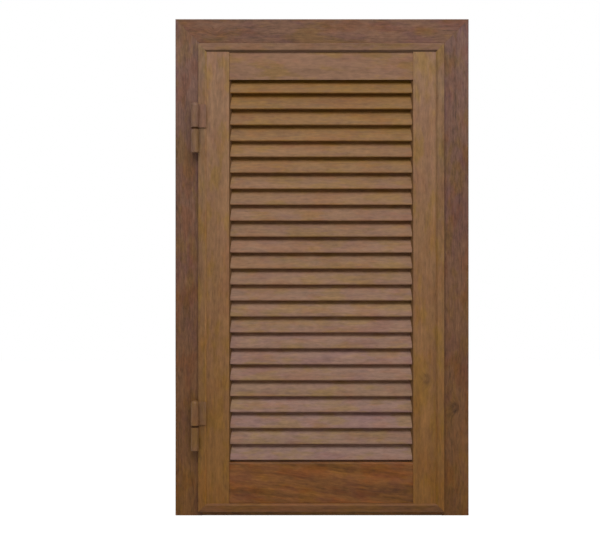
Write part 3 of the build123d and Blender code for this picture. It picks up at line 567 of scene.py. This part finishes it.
def dress(nodes, material):
    """Gives one material to one CAD node or to several."""
    for name in nodes:
        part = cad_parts[name]
        if not part.material_slots:
            part.data.materials.append(material)
        for slot in part.material_slots:
            slot.material = material


def coat(member, head_tone, foot_tone, nodes=None, **more):
    """Coats the node that bears the member's name, or the nodes that are given."""
    coating = wood_coating(f"Coating {member}", head_tone, foot_tone, **PRINTS[member], **more)
    dress(nodes or [member], coating)


def once(name, make, colour, **finish):
    """A material that several pieces share."""
    return bpy.data.materials.get(name) or make(name, colour, **finish)


def zinc():
    """Zinc-plated steel of the screws, pins and bolts."""
    look = bpy.context.scene.shutter_finishes
    return once("Zinc Plated Steel", metal, look.zinc_tone, metallic=1.0, marks=0.45, dullness=0.44)


def brown_plastic():
    """Dark brown plastic of the keepers and knobs."""
    look = bpy.context.scene.shutter_finishes
    return once("Brown Plastic", moulded, look.plastic_tone, dust=0.08, dullness=0.5, gloss=0.22)


def hand_over(mesh, name, material, body, slot, *nodes):
    """Turns a finished bmesh into a piece that rides on a body in place of CAD nodes."""
    bmesh.ops.remove_doubles(mesh, verts=mesh.verts, dist=MERGE)
    bmesh.ops.recalc_face_normals(mesh, faces=mesh.faces)
    data = bpy.data.meshes.new(name)
    mesh.to_mesh(data)
    mesh.free()
    data.materials.append(material)
    piece = bpy.data.objects.new(name, data)
    bpy.context.scene.collection.objects.link(piece)
    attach(piece, body)
    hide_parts(*nodes)
    return piece


def ring(mesh, radius, height, place, count, shape=None):
    """One ring of a turned piece; shape gives each corner's share of the radius."""
    made = bmesh.ops.create_circle(mesh, cap_ends=False, segments=count, radius=radius,
                                   matrix=Matrix.Translation((0.0, 0.0, height)))["verts"]
    if shape:
        for number, vert in enumerate(made):
            vert.co.xy *= shape[number % len(shape)]
    bmesh.ops.transform(mesh, matrix=place, verts=made)
    return made


def loop_edges(verts):
    """The edges between the corners of one ring."""
    held = set(verts)
    return list({edge for vert in verts for edge in vert.link_edges if held.issuperset(edge.verts)})


def turned(mesh, place, rings, count):
    """A solid turned about the place's Z: rings from its inner end to its far end, both closed."""
    made = [ring(mesh, radius, height, place, count, shape) for radius, height, shape in rings]
    edges = [loop_edges(verts) for verts in made]
    for near, far in zip(edges, edges[1:]):
        bmesh.ops.bridge_loops(mesh, edges=near + far)
    for end in (edges[0], edges[-1]):
        bmesh.ops.contextual_create(mesh, geom=end)


def facing(point, outward):
    """A place at the point with Z along the outward direction."""
    return Matrix.Translation(point) @ Vector(outward).to_track_quat("Z", "Y").to_matrix().to_4x4()


# The cross recess: its corners as shares of its radius, its share of the head's radius, how much it
# narrows to its floor, and the depths of its floor and its lip as shares of the head's height
CROSS = (1.0, 0.98, 0.52, 0.42, 0.52, 0.98)
RECESS_SHARE, RECESS_TAPER, RECESS_FLOOR, RECESS_LIP = 0.52, 0.55, 0.75, 0.02

# The heads from the recess outwards, as shares of their radius and depths as shares of their height
FLAT_HEAD = ((0.94, 0.0), (1.0, 0.06))
PAN_HEAD = ((0.72, 0.05), (0.93, 0.25), (1.0, 0.55), (1.0, 1.0))

# Radius of the shanks, and the number of corners round a screw
SHANK, SMALL_SHANK, SCREW_SIDES = 0.0025, 0.0020, 24

# The knobs: the grip's height, the stem's radius, and the corners of one rib as shares of the radius.
# The grip's lower edge has heights; its upper edge and its face have depths under the face's rim.
KNOB_HEIGHT, KNOB_STEM = 0.012, 0.0025
RIB = (1.0, 1.0, 0.92, 0.92)
KNOB_LOWER_EDGE = ((0.90, 0.0), (1.0, 0.0007))
KNOB_UPPER_EDGE = ((1.0, 0.0022), (0.93, 0.0009))
KNOB_FACE = ((0.80, 0.0001), (0.62, 0.0), (0.50, 0.0005), (0.25, 0.0008))


def screw_rings(radius, height, reach, shank, profile):
    """Rings of one cross-recessed screw, from the recess's floor out over the head to the tip."""
    recess = radius * RECESS_SHARE
    rings = [(recess * RECESS_TAPER, -height * RECESS_FLOOR, CROSS),
             (recess, -height * RECESS_LIP, CROSS)]
    rings += [(radius * out, -height * down, None) for out, down in profile]
    return rings + [(shank, -height, None), (shank, -reach, None)]


def knob_rings(radius, stem):
    """Rings of one knob, from its stem's end out over the ribbed grip to its dished face."""
    rings = [(KNOB_STEM, -stem, None), (KNOB_STEM, 0.0, None)]
    rings += [(radius * share, rise, RIB) for share, rise in KNOB_LOWER_EDGE]
    rings += [(radius * share, KNOB_HEIGHT - depth, RIB) for share, depth in KNOB_UPPER_EDGE]
    return rings + [(radius * share, KNOB_HEIGHT - depth, None) for share, depth in KNOB_FACE]


def loose_solids(mesh):
    """The places of the corners of each loose solid in a merged bmesh."""
    left = set(mesh.verts)
    while left:
        todo = [left.pop()]
        places = []
        while todo:
            vert = todo.pop()
            places.append(vert.co.copy())
            for edge in vert.link_edges:
                other = edge.other_vert(vert)
                if other in left:
                    left.remove(other)
                    todo.append(other)
        yield places


def screw_points(node, side):
    """Head centre and length of each screw in a CAD node of like screws, read from its own mesh."""
    source = bmesh.new()
    source.from_mesh(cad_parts[node].data)
    bmesh.ops.remove_doubles(source, verts=source.verts, dist=MERGE)
    points = []
    for places in loose_solids(source):
        low = Vector(min(place[axis] for place in places) for axis in range(3))
        high = Vector(max(place[axis] for place in places) for axis in range(3))
        head = (low + high) / 2
        head.y = high.y if side > 0 else low.y
        points.append((head, high.y - low.y))
    source.free()
    return points


class SHUTTER_OT_frame_coating(bpy.types.Operator):
    """Coats the jambs, the head and the sill with the wood print"""

    bl_idname = "shutter.frame_coating"
    bl_label = "Frame Coating"

    def execute(self, context):
        look = context.scene.shutter_finishes
        low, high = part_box("head")
        mitre = {"Half Width": high.x, "Top": high.z, "Bottom": NO_LOWER_MITRE}
        for node in ("jamb_hinge_side", "jamb_bolt_side"):
            coat(node, look.frame_tone, look.frame_foot, mitre=mitre)
        upper, lower = [tuple(share * part for part in look.head_tone) for share in HEAD_SHADES]
        coat("head", upper, lower, mitre=mitre, heights=(high.z, low.z))
        coat("sill", look.sill_tone, look.sill_tone)
        return {"FINISHED"}


class SHUTTER_OT_leaf_coating(bpy.types.Operator):
    """Coats the leaf's rim, stiles and rails with the wood print"""

    bl_idname = "shutter.leaf_coating"
    bl_label = "Leaf Coating"

    def execute(self, context):
        look = context.scene.shutter_finishes
        left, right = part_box("leaf_edge_left")[0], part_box("leaf_edge_right")[1]
        mitre = {"Middle": (left.x + right.x) / 2, "Half Width": (right.x - left.x) / 2,
                 "Top": right.z, "Bottom": left.z}
        for node in ("leaf_edge_left", "leaf_edge_right"):
            coat(node, look.rim_tone, look.rim_foot, mitre=mitre)
        coat("leaf_edge_top", look.top_rim_tone, look.top_rim_tone, mitre=mitre)
        coat("leaf_edge_bottom", look.low_rim_tone, look.low_rim_tone, mitre=mitre)
        for node in ("stile_left", "stile_right"):
            coat(node, look.stile_tone, look.stile_foot)
        coat("rail_top", look.top_rail_tone, look.top_rail_tone)
        coat("rail_bottom", look.low_rail_tone, look.low_rail_tone)
        return {"FINISHED"}


class SHUTTER_OT_slat_coating(bpy.types.Operator):
    """Coats the slats, each with its own stretch of the wood print"""

    bl_idname = "shutter.slat_coating"
    bl_label = "Slat Coating"

    def execute(self, context):
        look = context.scene.shutter_finishes
        coat("slats", look.slat_tone, look.slat_foot, SLATS, slats=True)
        return {"FINISHED"}


class SHUTTER_OT_hinges(bpy.types.Operator):
    """Finishes the hinges: coated leaves, plated pins and plastic washers"""

    bl_idname = "shutter.hinges"
    bl_label = "Hinges"

    def execute(self, context):
        look = context.scene.shutter_finishes
        coat("hinges", look.hinge_tone, look.hinge_foot, HINGE_LEAVES)
        dress(["hinge_pins"], zinc())
        washer = once("Washer Plastic", moulded, look.washer_tone, dust=0.0, dullness=0.8, gloss=0.1)
        dress(["hinge_washers"], washer)
        return {"FINISHED"}


class SHUTTER_OT_inner_metal(bpy.types.Operator):
    """Finishes the cleats, brackets and spigots inside the tubes, and the screws in the stiles"""

    bl_idname = "shutter.inner_metal"
    bl_label = "Inner Metal"

    def execute(self, context):
        look = context.scene.shutter_finishes
        cast = once("Bare Aluminium", metal, look.aluminium_tone, metallic=1.0, marks=0.35,
                    dullness=0.45)
        dress(["head_corner_cleats", "sill_brackets", "leaf_corner_cleats", "rail_spigots"], cast)
        dress(["spigot_screws"], zinc())
        return {"FINISHED"}


class SHUTTER_OT_combs_and_keepers(bpy.types.Operator):
    """Finishes the slat combs and the bolts' keepers"""

    bl_idname = "shutter.combs_and_keepers"
    bl_label = "Combs and Keepers"

    def execute(self, context):
        look = context.scene.shutter_finishes
        comb = once("Comb Plastic", moulded, look.comb_tone, dust=0.05, dullness=0.8, gloss=0.15)
        dress(["slat_comb_left", "slat_comb_right"], comb)
        dress(["bolt_keepers"], brown_plastic())
        return {"FINISHED"}


# The seal: how far in from its outer edge its middle line runs, how much of the bulb next to the foot
# is taken into the foot, and the number of corners round it
SEAL_LINE, SEAL_NECK, BULB_SIDES = 0.004, 0.0002, 20


class SHUTTER_OT_weather_seal(bpy.types.Operator):
    """Makes the weather seal: a foot and a round bulb that run round the frame's stop"""

    bl_idname = "shutter.weather_seal"
    bl_label = "Weather Seal"

    def execute(self, context):
        look, sizes = context.scene.shutter_finishes, context.scene.shutter_fittings
        low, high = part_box("frame_seal")
        left, right = low.x + SEAL_LINE, high.x - SEAL_LINE
        bottom, top = low.z + SEAL_LINE, high.z - SEAL_LINE
        corners = ((left, bottom, -1, -1), (right, bottom, 1, -1), (right, top, 1, 1),
                   (left, top, -1, 1))
        mesh = bmesh.new()
        bulb_y = low.y + sizes.bulb_radius
        rings = []
        for x, z, side, rise in corners:
            verts = bmesh.ops.create_circle(mesh, cap_ends=False, segments=BULB_SIDES,
                                            radius=sizes.bulb_radius)["verts"]
            for vert in verts:
                depth = bulb_y - vert.co.y
                if depth > high.y - sizes.foot_height - SEAL_NECK:
                    vert.co.x = sizes.foot_width / 2 * (1 if vert.co.x > 0 else -1)
                    depth = high.y
                vert.co = Vector((x + side * vert.co.x, depth, z + rise * vert.co.x))
            rings.append(loop_edges(verts))
        for near, far in zip(rings, rings[1:] + rings[:1]):
            bmesh.ops.bridge_loops(mesh, edges=near + far)
        rubber = once("Seal Rubber", moulded, look.rubber_tone, dust=0.08, dullness=0.62, gloss=0.3)
        piece = hand_over(mesh, "weather_seal", rubber, "frame", "black_rubber", "frame_seal")
        for face in piece.data.polygons:
            face.use_smooth = True
        return {"FINISHED"}


class SHUTTER_OT_screws(bpy.types.Operator):
    """Makes the screws that show, each with a cross recess"""

    bl_idname = "shutter.screws"
    bl_label = "Screws"

    def execute(self, context):
        sizes = context.scene.shutter_fittings
        kinds = (
            ("strap_screws", "leaf", 1, sizes.pan_radius, sizes.pan_height, SHANK, PAN_HEAD),
            ("pintle_screws", "frame", -1, sizes.flat_radius, sizes.flat_height, SHANK, FLAT_HEAD),
            ("bolt_plate_screws", "leaf", 1, sizes.small_radius, sizes.small_height, SMALL_SHANK,
             FLAT_HEAD),
        )
        for node, body, side, radius, height, shank, profile in kinds:
            mesh = bmesh.new()
            for point, reach in screw_points(node, side):
                rings = screw_rings(radius, height, reach, shank, profile)
                turned(mesh, facing(point, (0, side, 0)), rings, SCREW_SIDES)
            hand_over(mesh, f"{node}_cross_head", zinc(), body, "zinc_steel", node)
        return {"FINISHED"}


class SHUTTER_OT_bolts(bpy.types.Operator):
    """Finishes the sliding bolts and their plates, and makes their ribbed knobs"""

    bl_idname = "shutter.bolts"
    bl_label = "Sliding Bolts"

    def execute(self, context):
        look, sizes = context.scene.shutter_finishes, context.scene.shutter_fittings
        dress(["upper_bolt", "lower_bolt"], zinc())
        paint = once("Guide Plate Paint", metal, look.plate_tone, metallic=0.0, marks=0.2, dullness=0.5,
                     gloss=0.18)
        dress(["upper_bolt_plate", "lower_bolt_plate"], paint)
        for bolt in ("upper_bolt", "lower_bolt"):
            low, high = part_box(f"{bolt}_knob")
            centre = (low + high) / 2
            rings = knob_rings(sizes.knob_radius, high.y - low.y - KNOB_HEIGHT)
            seat = facing((centre.x, high.y - KNOB_HEIGHT, centre.z), (0, 1, 0))
            mesh = bmesh.new()
            turned(mesh, seat, rings, sizes.knob_ribs * len(RIB))
            hand_over(mesh, f"{bolt}_ribbed_knob", brown_plastic(), bolt, "dark_brown_plastic",
                      f"{bolt}_knob")
        return {"FINISHED"}


# Each softbox's place, and its width and height; both aim at the middle of the door
FRONT_BOX = ((-0.06, -2.4, 2.95), (3.0, 1.4))
REAR_BOX = ((0.3, 2.6, 1.5), (2.6, 1.2))
AIM = Vector((0.0, 0.0, 0.55))

# The floor's own light, and its share in what is seen of the floor directly
FLOOR_GLOW, FLOOR_GLOW_SHARE = 2.17, 0.4
WHITE = (1.0, 1.0, 1.0, 1.0)
SENSOR_WIDTH = 36.0


def seen_directly(w):
    """1 where the camera, a reflection or a refraction looks, 0 for plain light."""
    path = w.node("ShaderNodeLightPath").outputs
    seen = w.math("MAXIMUM", path["Is Camera Ray"], path["Is Glossy Ray"])
    return w.math("MAXIMUM", seen, path["Is Transmission Ray"])


def make_world(scene, stage):
    """Even pale light that shows as white."""
    world = bpy.data.worlds.new("Studio")
    world.use_nodes = True
    w = Wiring(world.node_tree)
    level = w.math("MULTIPLY_ADD", seen_directly(w), 1.0 - stage.world_level, stage.world_level)
    background = world.node_tree.nodes["Background"]
    w.feed(background.inputs["Strength"], level)
    w.feed(background.inputs["Color"], WHITE)
    scene.world = world


def pale_floor(stage):
    """The floor's material, which shows as white where it is seen directly outside the shadow."""
    material = bpy.data.materials.new("Pale Floor")
    material.use_nodes = True
    tree = material.node_tree
    w = Wiring(tree)
    shader = tree.nodes["Principled BSDF"]
    shader.inputs["Base Color"].default_value = (*stage.floor_colour, 1.0)
    shader.inputs["Roughness"].default_value = 0.9
    shader.inputs["Specular IOR Level"].default_value = 0.1
    glow = w.node("ShaderNodeEmission", {"Color": WHITE, "Strength": FLOOR_GLOW})
    share = w.math("MULTIPLY", seen_directly(w), FLOOR_GLOW_SHARE)
    both = w.node("ShaderNodeMixShader", {0: share, 1: shader.outputs[0], 2: glow.outputs[0]})
    tree.links.new(both.outputs[0], tree.nodes["Material Output"].inputs["Surface"])
    return material


def make_floor(scene, stage):
    """A wide flat floor round the door."""
    mesh = bmesh.new()
    bmesh.ops.create_grid(mesh, x_segments=2, y_segments=2, size=stage.floor_reach)
    data = bpy.data.meshes.new("floor")
    mesh.to_mesh(data)
    mesh.free()
    data.materials.append(pale_floor(stage))
    floor = bpy.data.objects.new("floor", data)
    scene.collection.objects.link(floor)


def make_softbox(scene, name, place, size, power, colour):
    """One wide softbox aimed at the middle of the door."""
    lamp = bpy.data.lights.new(name, "AREA")
    lamp.shape = "RECTANGLE"
    lamp.size, lamp.size_y = size
    lamp.energy = power
    lamp.color = colour
    softbox = bpy.data.objects.new(name, lamp)
    softbox.location = place
    softbox.rotation_euler = (AIM - Vector(place)).to_track_quat("-Z", "Y").to_euler()
    scene.collection.objects.link(softbox)


def make_camera(scene, stage):
    """A camera straight in front, at the height and the distance of the photograph's."""
    lens = bpy.data.cameras.new("camera")
    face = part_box("jamb_bolt_side")[0].y
    lens.sensor_width = SENSOR_WIDTH
    lens.lens = lens.sensor_width * (face - stage.camera_place[1]) / stage.view_width
    camera = bpy.data.objects.new("camera", lens)
    camera.location = stage.camera_place
    camera.rotation_euler = (pi / 2, 0.0, 0.0)
    scene.collection.objects.link(camera)
    scene.camera = camera


class SHUTTER_OT_stage(bpy.types.Operator):
    """Sets out the even light, the pale floor, the two softboxes and the camera"""

    bl_idname = "shutter.stage"
    bl_label = "Stage"

    def execute(self, context):
        scene, stage = context.scene, context.scene.shutter_stage
        make_world(scene, stage)
        make_floor(scene, stage)
        make_softbox(scene, "softbox", *FRONT_BOX, stage.key_power, stage.key_colour)
        make_softbox(scene, "rear_softbox", *REAR_BOX, stage.fill_power, stage.key_colour)
        make_camera(scene, stage)
        scene.view_settings.view_transform = "Standard"
        return {"FINISHED"}


STEPS = (SHUTTER_OT_frame_coating, SHUTTER_OT_leaf_coating, SHUTTER_OT_slat_coating,
         SHUTTER_OT_hinges, SHUTTER_OT_inner_metal, SHUTTER_OT_combs_and_keepers,
         SHUTTER_OT_weather_seal, SHUTTER_OT_screws, SHUTTER_OT_bolts, SHUTTER_OT_stage)


class SHUTTER_PT_door(bpy.types.Panel):
    """Lists the door's steps and settings in the sidebar"""

    bl_label = "Shutter Door"
    bl_idname = "SHUTTER_PT_door"
    bl_space_type = "VIEW_3D"
    bl_region_type = "UI"
    bl_category = "Shutter Door"

    def draw(self, context):
        for step in STEPS:
            self.layout.operator(step.bl_idname)
        for group in (context.scene.shutter_finishes, context.scene.shutter_fittings,
                      context.scene.shutter_stage):
            box = self.layout.box()
            for name in group.bl_rna.properties.keys():
                if name not in ("rna_type", "name"):
                    box.prop(group, name)


CLASSES = (ShutterFinishes, ShutterFittings, ShutterStage, *STEPS, SHUTTER_PT_door)


def register():
    """Adds the classes, and their settings on the scene."""
    for cls in CLASSES:
        bpy.utils.register_class(cls)
    bpy.types.Scene.shutter_finishes = PointerProperty(type=ShutterFinishes)
    bpy.types.Scene.shutter_fittings = PointerProperty(type=ShutterFittings)
    bpy.types.Scene.shutter_stage = PointerProperty(type=ShutterStage)


def unregister():
    """Takes the settings and the classes away again."""
    del bpy.types.Scene.shutter_stage
    del bpy.types.Scene.shutter_fittings
    del bpy.types.Scene.shutter_finishes
    for cls in reversed(CLASSES):
        bpy.utils.unregister_class(cls)


def main():
    """Makes every piece in order."""
    register()
    bpy.ops.shutter.frame_coating()
    bpy.ops.shutter.leaf_coating()
    bpy.ops.shutter.slat_coating()
    bpy.ops.shutter.hinges()
    bpy.ops.shutter.inner_metal()
    bpy.ops.shutter.combs_and_keepers()
    bpy.ops.shutter.weather_seal()
    bpy.ops.shutter.screws()
    bpy.ops.shutter.bolts()
    bpy.ops.shutter.stage()


if __name__ == "__main__":
    main()
